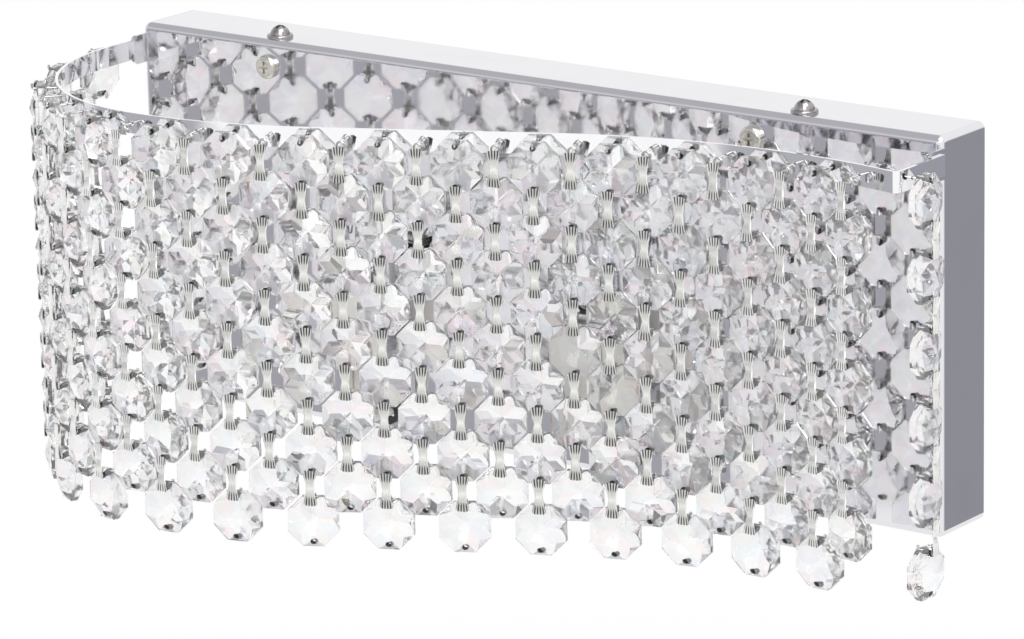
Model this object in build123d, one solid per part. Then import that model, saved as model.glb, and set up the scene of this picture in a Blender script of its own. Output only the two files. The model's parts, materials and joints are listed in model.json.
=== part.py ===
from build123d import *
import math
import os

os.makedirs("parts", exist_ok=True)

# Crystal wall sconce, in millimetres. The origin is the middle of the open back
# of the box, on the wall. +X runs along the lamp, +Y into the wall, +Z up.

# ---- Back box
box_length = 260.0
box_height = 105.0
box_depth = 20.0
box_sheet = 1.0
box_edge_radius = 2.0

# ---- Crystal band: a strip on edge, bent in plan. "out" is the distance in
# front of the box, and the runs are listed from the left foot.
band_height = 5.5
band_sheet = 0.8
band_below_top = 4.25
band_foot = 14.6
band_round_radius = 56.9
band_shoulder_radius = 116.0
band_shoulder_turn = 25.6
band_hollow_radius = 150.0
band_least_out = 18.2
band_bend_radius = 1.5

# ---- Lugs: the side walls of the box reach forward and carry the band's ends
lug_height = 8.0
lug_reach = 5.0
lug_corner_radius = 1.5

# ---- Strands, hung from a row of holes in the band
strand_first = 13.5
strand_last_clear = 8.0
strand_past_corner = 6.0
strand_out = 4.2
hook_hole_radius = 0.65
wire_radius = 0.3
hook_leg = 1.9
hook_tip = 1.4
hook_bend = 0.51
hook_clearance = 0.05
ring_radius = 1.05

# ---- Crystals: octagons with a pointed front and back and two holes
crystal_flats = 13.5
crystal_table_flats = 8.4
crystal_thickness = 7.0
crystal_table_thickness = 5.2
crystal_rim = 1.8
crystal_hole_radius = 0.8
crystal_hole_inset = 1.45
crystal_pitch = 19.3
crystal_gap = 0.25
long_strand_crystals = 6
short_strand_crystals = 5

# ---- Bow-tie clips
clip_sheet = 0.5
clip_rib = 0.3
clip_ribs = 4
clip_width = 4.0
clip_waist = 1.8
clip_beyond_hole = 1.15
clip_in_front = 2.8
clip_corner_share = 0.4
rib_waist_share = 0.85
rib_end_share = 0.9
prong_width = 0.7
prong_sheet = 0.5
prong_leg = 1.5
prong_reach = 2.55
prong_reach_short = 1.1

# ---- Fasteners: shank radius, head radius, head height
m4_radius = 2.0
m3_radius = 1.5
m25_radius = 1.25
thread_clearance = 0.05
hole_clearance = 0.2
dome_head = (2.7, 2.4)
dome_flange = (3.6, 0.9)
pan_head = (3.3, 1.9)
small_head = (2.75, 2.0)
tiny_head = (2.3, 1.6)
pan_rounding_share = 0.6
pan_recess_share = (0.5, 0.6)
dome_recess_share = (0.6, 0.6)
flange_rounding_share = 0.6
m4_nut = (7.0, 3.2)
m3_nut = (5.5, 2.4)

# ---- Wall bracket and the screws that lock the box to it
bracket_sheet = 1.5
bracket_length = 192.0
bracket_height = 24.0
riser_width = 16.0
ear_clearance = 0.5
locking_spacing = 170.8
locking_behind_front = 5.3
locking_length = 3.0
wall_slot_spacing = 100.0
wall_slot_width = 4.6
wall_slot_length = 12.0
cable_hole_radius = 7.0
earth_boss_radius = 4.0
earth_boss_height = 5.0
earth_x = 30.0

# ---- Lamp carrier, behind the front of the box
carrier_sheet = 1.0
carrier_x = (-95.0, 81.0)
carrier_below_top = 2.5
carrier_above_leads = 6.0
carrier_screw_x = (-85.7, 73.0)
carrier_screw_below_top = 7.3
carrier_screw_length = 6.5

# ---- Lamps
lamp_x = {"left": -47.0, "right": 33.0}
lamp_out = 15.0
lamp_above_leads = 20.0
bracket_leg_width = 16.0
bracket_leg_sheet = 1.2
bracket_fold_share = 0.8
bracket_leg_drop = 15.0
bracket_leg_reach = 25.0
bracket_screw_spacing = 9.0
bracket_screw_drop = 9.0
bracket_screw_length = 6.2
holder_radius = 8.5
holder_height = 20.0
holder_screw_spacing = 11.8
holder_screw_length = 7.0
holder_pocket = (12.5, 5.5, 10.0)
bulb_radius = 6.75
bulb_wall = 1.0
bulb_above_seat = 54.0
bulb_above_holder = 3.0
bulb_shoulder_share = 0.45
pinch_clearance = 0.5
pin_spacing = 9.0
pin_wire_radius = 0.3
pin_length = 5.5
pin_loop = 1.0
pin_bend_share = 0.45
contact_radius = 1.1
filament_radius = 0.25
filament_side_clear = 0.5
filament_foot = 1.0
filament_kink_share = 0.8

# ---- Wiring
lead_radius = 1.0
lead_spacing = 2.4
lead_clearance = 0.1
lead_above_bottom = 6.5
lead_depths = (5.9, 8.3)
lead_bend_shares = (0.45, 0.55, 0.6)
earth_lead_bends = (5.0, 6.0)
bush_bore = 2.4
bush_radius = 3.1
bush_flange = 3.8
terminal_pitch = 10.0
terminal_poles = 3
terminal_depth = 10.0
terminal_above_leads = 12.0
terminal_height = 16.0
terminal_entry_radius = 2.9
terminal_entry_depth = 7.0
terminal_entry_share = 0.8
terminal_screw_radius = 1.7
ring_terminal_sheet = 0.8
ring_terminal_crimp = 0.6
earth_thread_share = 0.8

# ---- Planes that several pieces share
front_y = -box_depth
inside_y = front_y + box_sheet
carrier_back_y = inside_y + carrier_sheet
lamp_y = front_y - lamp_out
top_z = box_height / 2
band_top_z = top_z - band_below_top
band_bottom_z = band_top_z - band_height
hook_z = band_top_z - band_height / 2
band_end_x = box_length / 2 + band_sheet / 2
ear_depth = box_depth - box_sheet - carrier_sheet - ear_clearance
locking_out = box_depth - locking_behind_front
lead_z = lead_above_bottom - box_height / 2
lamp_seat_z = lead_z + lamp_above_leads
bulb_top_z = lamp_seat_z + bulb_above_seat
terminal_z = (
    lead_z + terminal_above_leads,
    lead_z + terminal_above_leads + terminal_height,
)
carrier_z = (lead_z + carrier_above_leads, top_z - carrier_below_top)
carrier_screw_z = top_z - carrier_screw_below_top
crystal_hole_offset = crystal_flats / 2 - crystal_hole_inset
clip_span = crystal_pitch - 2 * crystal_hole_offset
ring_drop = crystal_pitch / 2 - clip_span

# Neighbouring strands interlock: their crystals clear each other by the named
# gap on the slant, also where the hollow of the band brings them together.
crystal_slant = crystal_flats + crystal_gap
crystal_side_step = math.sqrt(crystal_slant**2 - (crystal_pitch / 2) ** 2)
strand_pitch = crystal_side_step / (1 - strand_out / band_hollow_radius)


# ---- Small helpers
def block(x, y, z):
    """A box between two coordinates on each axis."""
    size = [high - low for low, high in (x, y, z)]
    middle = [(high + low) / 2 for low, high in (x, y, z)]
    return Pos(*middle) * Box(*size)


def rod(start, end, radius):
    """A round bar from one point to another."""
    run = Vector(*end) - Vector(*start)
    base = Plane(origin=start, z_dir=run)
    lift = (Align.CENTER, Align.CENTER, Align.MIN)
    return base * Cylinder(radius, run.length, align=lift)


def wire(points, bend_radii, radius):
    """A round wire along straight runs joined by arcs."""
    path = FilletPolyline(*points, radius=bend_radii)
    section = Plane(origin=path @ 0, z_dir=path % 0) * Circle(radius)
    return sweep(section, path=path)


def save(name, *pieces):
    """Write one node, as its separate solids."""
    solids = [solid for piece in pieces for solid in piece.solids()]
    export_step(Compound(children=solids), f"parts/{name}.step")


def cross_recess(top_z, size, depth):
    """A cross cut down from the top of a screw head."""
    across = block((-size, size), (-size / 5, size / 5), (top_z - depth, top_z + 1))
    return across + Rot(0, 0, 90) * across


def pan_screw(head, shank_radius, shank_length):
    """A cross-recess screw: the head stands on z = 0, the shank goes down."""
    head_radius, head_height = head
    lift = (Align.CENTER, Align.CENTER, Align.MIN)
    body = Cylinder(head_radius, head_height, align=lift)
    body = fillet(body.edges().sort_by(Axis.Z)[-1], head_height * pan_rounding_share)
    shank = rod((0, 0, -shank_length), (0, 0, 0), shank_radius)
    across, deep = pan_recess_share
    recess = cross_recess(head_height, head_radius * across, head_height * deep)
    return body + shank - recess


def dome_screw(head, flange, shank_radius, shank_length):
    """A screw with a ball-shaped head on a round flange standing on z = 0."""
    head_radius, head_height = head
    flange_radius, flange_height = flange
    ball_radius = (head_radius**2 + head_height**2) / (2 * head_height)
    top = flange_height + head_height
    ball = Pos(0, 0, top - ball_radius) * Sphere(ball_radius)
    reach = 2 * ball_radius
    body = ball & block((-reach, reach), (-reach, reach), (flange_height, reach))
    disc = rod((0, 0, 0), (0, 0, flange_height), flange_radius)
    disc = fillet(disc.edges().sort_by(Axis.Z)[-1], flange_height * flange_rounding_share)
    shank = rod((0, 0, -shank_length), (0, 0, 0), shank_radius)
    across, deep = dome_recess_share
    recess = cross_recess(top, head_radius * across, head_height * deep)
    return body + disc + shank - recess


def hex_nut(size, shank_radius):
    """A hexagon nut on z = 0, opened up from z = 0."""
    across_flats, height = size
    hexagon = RegularPolygon(across_flats / 2, 6, major_radius=False)
    bore = rod((0, 0, -1), (0, 0, height + 1), shank_radius + thread_clearance)
    return extrude(hexagon, amount=height) - bore


def facing_out(x, y, z):
    """A place whose local +Z points out of the wall, away from the box."""
    return Plane(origin=(x, y, z), x_dir=(1, 0, 0), z_dir=(0, -1, 0)).location


def facing_wall(x, y, z):
    """A place whose local +Z points into the wall."""
    return Plane(origin=(x, y, z), x_dir=(1, 0, 0), z_dir=(0, 1, 0)).location


# ---- The band's plan: runs of (length, turn in degrees, plus to the left)
def band_plan():
    """Runs of the band's middle line from the left foot to the right one."""
    turn = math.radians(band_shoulder_turn)
    both_radii = band_shoulder_radius + band_hollow_radius
    most_out = band_foot + band_round_radius
    fall = most_out - band_least_out - both_radii * (1 - math.cos(turn))
    straight = fall / math.sin(turn)
    start_x = band_round_radius - band_end_x
    nearest_x = start_x + both_radii * math.sin(turn) + straight * math.cos(turn)
    last_reach = band_end_x - band_bend_radius - nearest_x
    last_sine = last_reach / (band_hollow_radius + band_bend_radius)
    last_turn = math.asin(last_sine)
    corner_turn = math.pi / 2 + last_turn
    back = band_least_out + band_hollow_radius * (1 - math.cos(last_turn))
    back -= band_bend_radius * math.cos(last_turn)
    arcs = [
        (band_round_radius, -math.pi / 2),
        (band_shoulder_radius, -turn),
        (band_hollow_radius, turn + last_turn),
        (band_bend_radius, -corner_turn),
    ]
    bends = [(radius * abs(angle), math.degrees(angle)) for radius, angle in arcs]
    return [
        (band_foot, 0.0),
        bends[0],
        bends[1],
        (straight, 0.0),
        bends[2],
        bends[3],
        (back, 0.0),
    ]


band_runs = band_plan()
band_front_length = sum(length for length, turn in band_runs[:5])
band_bend_length = band_runs[5][0]


def band_point(distance):
    """x, out and heading (degrees) at a distance along the band."""
    x, out, heading = -band_end_x, 0.0, 90.0
    for length, turn in band_runs:
        step = min(distance, length)
        start = math.radians(heading)
        if turn == 0:
            x += step * math.cos(start)
            out += step * math.sin(start)
        else:
            radius = length / math.radians(turn)
            heading += turn * step / length
            end = math.radians(heading)
            x += radius * (math.sin(end) - math.sin(start))
            out += radius * (math.cos(start) - math.cos(end))
        distance -= step
        if distance <= 0:
            break
    return x, out, heading


def band_side_point(distance, offset, z):
    """A point beside the band's middle line, plus away from the wall."""
    x, out, heading = band_point(distance)
    angle = math.radians(heading)
    side_x = x - offset * math.sin(angle)
    side_out = out + offset * math.cos(angle)
    return (side_x, front_y - side_out, z)


def band_edges(offset):
    """The edges of one face of the band, seen in plan."""
    edges = []
    travelled = 0.0
    for length, turn in band_runs:
        stops = [travelled, travelled + length / 2, travelled + length]
        points = [band_side_point(stop, offset, band_bottom_z) for stop in stops]
        if turn == 0:
            edges.append(Edge.make_line(points[0], points[2]))
        else:
            edges.append(Edge.make_three_point_arc(*points))
        travelled += length
    return edges


# ---- Where the strands hang: along the front, and one on the right return
front_strand_run = band_front_length - strand_first - strand_last_clear
strand_count = int(front_strand_run / strand_pitch) + 2


def strand_stations():
    """Distances of the hook holes along the band."""
    stations = [strand_first + strand_pitch * k for k in range(strand_count - 1)]
    corner = band_front_length + band_bend_length / 2
    return stations + [corner + strand_past_corner]


def is_long(index):
    """Every second strand starts with a crystal and is the longer one."""
    return index % 2 == 0


def strand_frame(index):
    """The hinge point of a strand: +X along the band, +Y to the wall."""
    station = strand_stations()[index]
    drop = 0.0 if is_long(index) else ring_drop
    origin = band_side_point(station, strand_out, hook_z - drop)
    heading = math.radians(band_point(station)[2])
    along = (math.cos(heading), -math.sin(heading), 0)
    return Plane(origin=origin, x_dir=along, z_dir=(0, 0, 1)).location


# ---- Crystals and clips, in the strand's own frame
def octagon(flats, y):
    """Corners of an upright octagon at a depth y."""
    radius = flats / 2 / math.cos(math.pi / 8)
    angles = [math.pi / 8 + math.pi / 4 * k for k in range(8)]
    return [(radius * math.cos(a), y, radius * math.sin(a)) for a in angles]


def crystal():
    """One octagon crystal around the origin, with its two holes."""
    faces = []
    rim_front = octagon(crystal_flats, -crystal_rim / 2)
    rim_back = octagon(crystal_flats, crystal_rim / 2)
    for k in range(8):
        after = (k + 1) % 8
        faces.append((rim_front[k], rim_front[after], rim_back[after], rim_back[k]))
    for side, rim in ((-1, rim_front), (1, rim_back)):
        table = octagon(crystal_table_flats, side * crystal_table_thickness / 2)
        point = (0, side * crystal_thickness / 2, 0)
        for k in range(8):
            after = (k + 1) % 8
            faces.append((rim[k], rim[after], table[after], table[k]))
            faces.append((table[k], table[after], point))
    shell = Shell([Face(Wire.make_polygon(face, close=True)) for face in faces])
    body = Solid(shell)
    for end in (-1, 1):
        z = end * crystal_hole_offset
        through = crystal_thickness
        body -= rod((0, -through, z), (0, through, z), crystal_hole_radius)
    return body


def clip(upper_reach, lower_reach):
    """One bow-tie clip around the origin, with its prongs to the back."""
    half_span = clip_span / 2
    end_z = half_span + clip_beyond_hole
    side_z = end_z - clip_beyond_hole / 2
    waist_z = clip_waist / 3
    corner_x = clip_width * clip_corner_share
    right = [
        (corner_x, end_z),
        (clip_width / 2, side_z),
        (clip_waist / 2, waist_z),
        (clip_waist / 2, -waist_z),
        (clip_width / 2, -side_z),
        (corner_x, -end_z),
    ]
    left = [(-x, z) for x, z in reversed(right)]
    back_y = -clip_in_front
    outline = [(x, back_y, z) for x, z in right + left]
    sheet = Face(Wire.make_polygon(outline, close=True))
    body = extrude(sheet, amount=clip_sheet, dir=(0, -1, 0))
    rib_y = back_y - clip_sheet
    for end in (-1, 1):
        for k in range(clip_ribs):
            share = (k + 0.5) / clip_ribs * 2 - 1
            near_x = share * clip_waist / 2 * rib_waist_share
            far_x = share * clip_width / 2 * rib_end_share
            rib_half = clip_width / clip_ribs / 4
            rib = [
                (near_x - rib_half / 3, rib_y, end * waist_z * 1.5),
                (near_x + rib_half / 3, rib_y, end * waist_z * 1.5),
                (far_x + rib_half, rib_y, end * side_z),
                (far_x - rib_half, rib_y, end * side_z),
            ]
            face = Face(Wire.make_polygon(rib, close=True))
            body += extrude(face, amount=clip_rib, dir=(0, -1, 0))
    for end, reach in ((1, upper_reach), (-1, lower_reach)):
        half = prong_width / 2
        z = end * half_span
        pin_z = (z - prong_sheet / 2, z + prong_sheet / 2)
        body += block((-half, half), (back_y, reach), pin_z)
        leg_z = sorted((z + end * prong_sheet / 2, z - end * prong_leg))
        body += block((-half, half), (reach - prong_sheet, reach), leg_z)
    return body


crystal_body = crystal()
clip_body = clip(prong_reach, prong_reach)
top_clip_body = clip(prong_reach_short, prong_reach)


def strand(index):
    """The crystals and clips of one strand."""
    pieces = []
    if is_long(index):
        crystals = long_strand_crystals
        first = crystal_hole_offset
    else:
        crystals = short_strand_crystals
        first = clip_span + crystal_hole_offset
        pieces.append(Pos(0, 0, -clip_span / 2) * top_clip_body)
    for k in range(crystals):
        centre = first + k * crystal_pitch
        pieces.append(Pos(0, 0, -centre) * crystal_body)
        if k < crystals - 1:
            waist = centre + crystal_pitch / 2
            pieces.append(Pos(0, 0, -waist) * clip_body)
    return [strand_frame(index) * piece for piece in pieces]


def crystal_hole_surface():
    """Half the crystal's thickness at the middle of a hole."""
    rise = (crystal_table_thickness - crystal_rim) / 2
    run = (crystal_flats - crystal_table_flats) / 2
    return crystal_rim / 2 + crystal_hole_inset * rise / run


def strand_hook(index):
    """The fixed wire in the band that carries one strand."""
    inside_face = strand_out + band_sheet / 2 + wire_radius + hook_clearance
    if is_long(index):
        hole_front = crystal_hole_surface() + wire_radius * 2 + hook_clearance
        points = [
            (0, inside_face, hook_leg),
            (0, inside_face, 0),
            (0, -hole_front, 0),
            (0, -hole_front, hook_tip),
        ]
        body = wire(points, hook_bend, wire_radius)
    else:
        points = [
            (0, inside_face, ring_drop + hook_leg),
            (0, inside_face, ring_drop),
            (0, 0, ring_drop),
        ]
        ring = Rot(90, 0, 0) * Torus(ring_radius, wire_radius)
        body = wire(points, hook_bend, wire_radius) + ring
    return strand_frame(index) * body


# ---- Back box, with its holes
def box_shell():
    """The folded sheet, open at the wall."""
    outer = block(
        (-box_length / 2, box_length / 2), (front_y, 0), (-box_height / 2, top_z)
    )
    front = outer.faces().sort_by(Axis.Y)[0].edges()
    outer = fillet(front + outer.edges().filter_by(Axis.Y), box_edge_radius)
    half_length = box_length / 2 - box_sheet
    half_height = box_height / 2 - box_sheet
    inner = block(
        (-half_length, half_length), (inside_y, 0), (-half_height, half_height)
    )
    front = inner.faces().sort_by(Axis.Y)[0].edges()
    rounding = box_edge_radius - box_sheet
    return outer - fillet(front + inner.edges().filter_by(Axis.Y), rounding)


def front_hole(x, z, radius):
    """A hole through the front of the box and the lamp carrier."""
    return rod((x, front_y - 1, z), (x, carrier_back_y + 1, z), radius)


def bracket_screw_places():
    """x and z of the screws that hold the two lamp brackets."""
    z = lamp_seat_z - bracket_screw_drop
    half = bracket_screw_spacing / 2
    return [(x + side * half, z) for x in lamp_x.values() for side in (-1, 1)]


def carrier_screw_places():
    """x and z of the two screws in the front of the box."""
    return [(x, carrier_screw_z) for x in carrier_screw_x]


def band_lug(side):
    """A lug of a side wall, on whose outer face an end of the band is welded."""
    outer_x = side * box_length / 2
    x = sorted((outer_x, outer_x - side * box_sheet))
    z = (hook_z - lug_height / 2, hook_z + lug_height / 2)
    lug = block(x, (front_y - lug_reach, front_y + box_edge_radius), z)
    corners = lug.edges().filter_by(Axis.X).group_by(Axis.Y)[0]
    return fillet(corners, lug_corner_radius)


def back_box():
    body = box_shell()
    for x, z in carrier_screw_places():
        body -= front_hole(x, z, m4_radius + hole_clearance)
    for x, z in bracket_screw_places():
        body -= front_hole(x, z, m3_radius + hole_clearance)
    for x in lamp_x.values():
        body -= front_hole(x, lead_z, bush_radius + lead_clearance)
    for side in (-1, 1):
        body += band_lug(side)
        x = side * locking_spacing / 2
        low = (x, -locking_out, top_z - 2 * box_sheet)
        high = (x, -locking_out, top_z + 1)
        body -= rod(low, high, m4_radius + hole_clearance)
    return body


# ---- Wall bracket
def wall_slot(x):
    """A slot along X, through the bracket's sheet."""
    half_run = (wall_slot_length - wall_slot_width) / 2
    radius = wall_slot_width / 2
    y = (-bracket_sheet - 1, 1)
    slot = block((x - half_run, x + half_run), y, (-radius, radius))
    for end in (-1, 1):
        middle = x + end * half_run
        slot += rod((middle, y[0], 0), (middle, y[1], 0), radius)
    return slot


def wall_bracket():
    half_length = bracket_length / 2
    half_height = bracket_height / 2
    sheet_y = (-bracket_sheet, 0)
    under_top = top_z - box_sheet
    body = block((-half_length, half_length), sheet_y, (-half_height, half_height))
    for side in (-1, 1):
        x = side * locking_spacing / 2
        wide = (x - riser_width / 2, x + riser_width / 2)
        body += block(wide, sheet_y, (half_height, under_top))
        body += block(wide, (-ear_depth, 0), (under_top - bracket_sheet, under_top))
        low = (x, -locking_out, under_top - 2 * bracket_sheet)
        high = (x, -locking_out, under_top + 1)
        body -= rod(low, high, m4_radius + thread_clearance)
        body -= wall_slot(side * wall_slot_spacing / 2)
    body -= rod((0, -bracket_sheet - 1, 0), (0, 1, 0), cable_hole_radius)
    boss_y = -bracket_sheet - earth_boss_height
    body += rod((earth_x, boss_y, 0), (earth_x, -bracket_sheet, 0), earth_boss_radius)
    thread = m4_radius + thread_clearance
    body -= rod((earth_x, boss_y - 1, 0), (earth_x, -bracket_sheet, 0), thread)
    return body


def locking_screws():
    screw = dome_screw(dome_head, dome_flange, m4_radius, locking_length)
    half = locking_spacing / 2
    return [Pos(side * half, -locking_out, top_z) * screw for side in (-1, 1)]


# ---- Lamp carrier and its screws
def lamp_carrier():
    body = block(carrier_x, (inside_y, carrier_back_y), carrier_z)
    for x, z in carrier_screw_places():
        body -= front_hole(x, z, m4_radius + hole_clearance)
    for x, z in bracket_screw_places():
        body -= front_hole(x, z, m3_radius + hole_clearance)
    hole_x, hole_z = terminal_fixing_place()
    start = (hole_x, inside_y - 1, hole_z)
    end = (hole_x, carrier_back_y + 1, hole_z)
    return body - rod(start, end, m25_radius + thread_clearance)


def carrier_screws():
    screw = pan_screw(pan_head, m4_radius, carrier_screw_length)
    return [facing_out(x, front_y, z) * screw for x, z in carrier_screw_places()]


def carrier_nuts():
    nut = hex_nut(m4_nut, m4_radius)
    places = carrier_screw_places()
    return [facing_wall(x, carrier_back_y, z) * nut for x, z in places]


# ---- Band
def crystal_band():
    outer = band_edges(band_sheet / 2)
    inner = band_edges(-band_sheet / 2)
    ends = [
        Edge.make_line(outer[0] @ 0, inner[0] @ 0),
        Edge.make_line(outer[-1] @ 1, inner[-1] @ 1),
    ]
    plan = Face(Wire(outer + inner + ends))
    body = extrude(plan, amount=band_height, dir=(0, 0, 1))
    for station in strand_stations():
        start = band_side_point(station, -band_sheet, hook_z)
        end = band_side_point(station, band_sheet, hook_z)
        body -= rod(start, end, hook_hole_radius)
    return body


# ---- Lamps
def outer_fold_edge(body):
    """The outer edge of an angle bracket's fold."""
    along = body.edges().filter_by(Axis.X)
    return along.sort_by(lambda edge: edge.center().Y + edge.center().Z)[-1]


def holder_screw_places(x):
    """The two screws up into a lamp holder, in front of and behind its axis."""
    half = holder_screw_spacing / 2
    seat_low = lamp_seat_z - bracket_leg_sheet
    return [(x, lamp_y + side * half, seat_low) for side in (-1, 1)]


def lamp_bracket(x):
    half = bracket_leg_width / 2
    seat_low = lamp_seat_z - bracket_leg_sheet
    wide = (x - half, x + half)
    seat_y = (front_y - bracket_leg_reach, front_y)
    upright_y = (front_y - bracket_leg_sheet, front_y)
    body = block(wide, seat_y, (seat_low, lamp_seat_z))
    body += block(wide, upright_y, (lamp_seat_z - bracket_leg_drop, lamp_seat_z))
    body = fillet(outer_fold_edge(body), bracket_leg_sheet * bracket_fold_share)
    radius = m3_radius + hole_clearance
    screw_z = lamp_seat_z - bracket_screw_drop
    for side in (-1, 1):
        screw_x = x + side * bracket_screw_spacing / 2
        start = (screw_x, upright_y[0] - 1, screw_z)
        body -= rod(start, (screw_x, front_y + 1, screw_z), radius)
    radius = m25_radius + hole_clearance
    for hole_x, hole_y, z in holder_screw_places(x):
        body -= rod((hole_x, hole_y, z - 1), (hole_x, hole_y, lamp_seat_z + 1), radius)
    radius = lead_spacing / 2 + lead_radius + hole_clearance
    start = (x, lamp_y, seat_low - 1)
    return body - rod(start, (x, lamp_y, lamp_seat_z + 1), radius)


def bracket_screws():
    screw = pan_screw(small_head, m3_radius, bracket_screw_length)
    y = front_y - bracket_leg_sheet
    return [facing_out(x, y, z) * screw for x, z in bracket_screw_places()]


def bracket_nuts():
    nut = hex_nut(m3_nut, m3_radius)
    places = bracket_screw_places()
    return [facing_wall(x, carrier_back_y, z) * nut for x, z in places]


holder_top_z = lamp_seat_z + holder_height
pocket_floor_z = holder_top_z - holder_pocket[2]
pinch_bottom_z = pocket_floor_z + pinch_clearance
lead_top_z = lamp_seat_z + holder_height / 4


def lamp_holder(x):
    """A ceramic holder: a pocket for the bulb's pinch, contacts, lead holes."""
    body = rod((x, lamp_y, lamp_seat_z), (x, lamp_y, holder_top_z), holder_radius)
    body = fillet(body.edges().sort_by(Axis.Z)[-1], holder_radius / 7)
    half_x, half_y = holder_pocket[0] / 2, holder_pocket[1] / 2
    across = (x - half_x, x + half_x)
    deep = (lamp_y - half_y, lamp_y + half_y)
    body -= block(across, deep, (pocket_floor_z, holder_top_z + 1))
    contact_low = pinch_bottom_z - pin_length - 2 * pin_wire_radius
    for side in (-1, 1):
        pin_x = x + side * pin_spacing / 2
        bottom = (pin_x, lamp_y, contact_low)
        body -= rod(bottom, (pin_x, lamp_y, pocket_floor_z + 1), contact_radius)
        lead_x = x + side * lead_spacing / 2
        top = (lead_x, lamp_y, lead_top_z)
        body -= rod((lead_x, lamp_y, lamp_seat_z - 1), top, lead_radius + lead_clearance)
    screw_top = lamp_seat_z - bracket_leg_sheet + holder_screw_length
    for hole_x, hole_y, z in holder_screw_places(x):
        end = (hole_x, hole_y, screw_top)
        body -= rod((hole_x, hole_y, z), end, m25_radius + thread_clearance)
    return body


def holder_screws():
    screw = Rot(180, 0, 0) * pan_screw(tiny_head, m25_radius, holder_screw_length)
    places = [place for x in lamp_x.values() for place in holder_screw_places(x)]
    return [Pos(*place) * screw for place in places]


def bulb_glass(x):
    """A capsule bulb: a hollow glass tube with a flat pinch below."""
    neck_z = holder_top_z + bulb_above_holder
    dome_z = bulb_top_z - bulb_radius
    inner = bulb_radius - bulb_wall
    body = rod((x, lamp_y, neck_z), (x, lamp_y, dome_z), bulb_radius)
    shoulder = bulb_radius * bulb_shoulder_share
    body = fillet(body.edges().sort_by(Axis.Z)[0], shoulder)
    body += Pos(x, lamp_y, dome_z) * Sphere(bulb_radius)
    half_x = holder_pocket[0] / 2 - pinch_clearance
    half_y = holder_pocket[1] / 2 - pinch_clearance
    across = (x - half_x, x + half_x)
    deep = (lamp_y - half_y, lamp_y + half_y)
    body += block(across, deep, (pinch_bottom_z, neck_z + bulb_wall))
    hollow_low = neck_z + bulb_wall + inner
    hollow = rod((x, lamp_y, hollow_low), (x, lamp_y, dome_z), inner)
    for z in (hollow_low, dome_z):
        hollow += Pos(x, lamp_y, z) * Sphere(inner)
    return body - hollow


def bulb_filament(x):
    """A bent filament on its two supports, standing on the hollow's floor."""
    floor_z = holder_top_z + bulb_above_holder + bulb_wall
    half = bulb_radius - bulb_wall - filament_radius - filament_side_clear
    low_z = floor_z + bulb_radius
    high_z = bulb_top_z - 2 * bulb_radius
    reach = half / 3
    points = [
        (x - reach, lamp_y, floor_z + filament_foot),
        (x - half * filament_kink_share, lamp_y, low_z),
        (x - reach, lamp_y, high_z),
        (x, lamp_y, low_z),
        (x + reach, lamp_y, high_z),
        (x + half * filament_kink_share, lamp_y, low_z),
        (x + reach, lamp_y, floor_z + filament_foot),
    ]
    return wire(points, filament_radius * 2, filament_radius)


def bulb_pins():
    """Two looped wire pins under each bulb's pinch."""
    pins = []
    low_z = pinch_bottom_z - pin_length
    for x in lamp_x.values():
        for side in (-1, 1):
            middle = x + side * pin_spacing / 2
            left, right = middle - pin_loop / 2, middle + pin_loop / 2
            points = [
                (left, lamp_y, pinch_bottom_z),
                (left, lamp_y, low_z),
                (right, lamp_y, low_z),
                (right, lamp_y, pinch_bottom_z),
            ]
            pins.append(wire(points, pin_loop * pin_bend_share, pin_wire_radius))
    return pins


# ---- Terminal block, on the back of the lamp carrier
terminal_x = sum(lamp_x.values()) / len(lamp_x)
terminal_back_y = carrier_back_y + terminal_depth
terminal_y = (carrier_back_y + terminal_back_y) / 2
terminal_middle_z = sum(terminal_z) / 2


def pole_x(pole):
    """The middle of a pole, counted from the left: live, neutral, earth."""
    return terminal_x + (pole - (terminal_poles - 1) / 2) * terminal_pitch


def terminal_fixing_place():
    """x and z of the screw that holds the terminal block."""
    return (terminal_x - terminal_pitch / 2, terminal_middle_z)


def terminal_block():
    half = terminal_poles * terminal_pitch / 2
    body = block(
        (terminal_x - half, terminal_x + half),
        (carrier_back_y, terminal_back_y),
        terminal_z,
    )
    low, high = terminal_z
    screw_deep = terminal_back_y - 3 * terminal_screw_radius
    for pole in range(terminal_poles):
        x = pole_x(pole)
        top = (x, terminal_y, low + terminal_entry_depth)
        body -= rod((x, terminal_y, low - 1), top, terminal_entry_radius)
        bottom = (x, terminal_y, high - terminal_entry_depth)
        body -= rod(bottom, (x, terminal_y, high + 1), terminal_entry_radius)
        start = (x, terminal_back_y + 1, terminal_middle_z)
        end = (x, screw_deep, terminal_middle_z)
        body -= rod(start, end, terminal_screw_radius + hole_clearance / 2)
    x, z = terminal_fixing_place()
    start = (x, carrier_back_y - 1, z)
    return body - rod(start, (x, terminal_back_y + 1, z), m25_radius + hole_clearance)


def terminal_screws():
    """Slotted clamp screws, sunk level with the block."""
    screws = []
    length = 3 * terminal_screw_radius
    for pole in range(terminal_poles):
        x = pole_x(pole)
        start = (x, terminal_back_y - length, terminal_middle_z)
        end = (x, terminal_back_y, terminal_middle_z)
        half_slot = terminal_screw_radius / 5
        slot_y = (terminal_back_y - terminal_screw_radius / 2, terminal_back_y + 1)
        slot_z = (terminal_middle_z - half_slot, terminal_middle_z + half_slot)
        slot = block((x - length, x + length), slot_y, slot_z)
        screws.append(rod(start, end, terminal_screw_radius) - slot)
    return screws


def terminal_fixing_screw():
    x, z = terminal_fixing_place()
    length = terminal_depth + carrier_sheet
    screw = pan_screw(tiny_head, m25_radius, length)
    return facing_wall(x, terminal_back_y, z) * screw


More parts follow.
